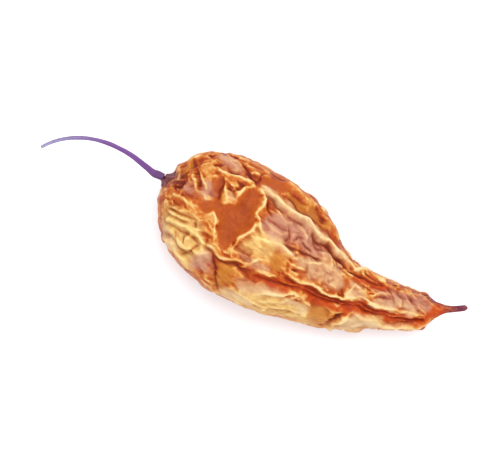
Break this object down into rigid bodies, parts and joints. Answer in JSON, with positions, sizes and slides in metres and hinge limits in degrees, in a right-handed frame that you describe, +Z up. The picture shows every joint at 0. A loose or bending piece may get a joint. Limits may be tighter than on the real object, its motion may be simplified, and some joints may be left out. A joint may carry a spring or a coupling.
{
  "type": "dried chilli pepper",
  "caption": "Whole dried chilli pepper lying on its side: a shrunken, tapered pod with a bent tip, a small calyx and a thin curved stem.",
  "frame": {"origin": "middle of the pepper's footprint, on the surface that it lies on", "axes": "+X from the stem to the pod's tip, +Y to the side that the tip bends to, +Z up from the surface"},
  "size_m": [0.0932, 0.029, 0.0205],
  "materials": {
    "dried_skin": "wrinkled, half-gloss waxy fruit skin, burnt orange in the hollows and cream on the ridges",
    "dried_calyx": "matt, dry and fibrous, brown with a mauve cast",
    "dried_stem": "matt, finely ribbed along its length, purple-brown going greyer to the cut end"
  },
  "bodies": {
    "root": {"pod": "dried_skin", "calyx": "dried_calyx", "stem": "dried_stem"}
  },
  "joints": []
}
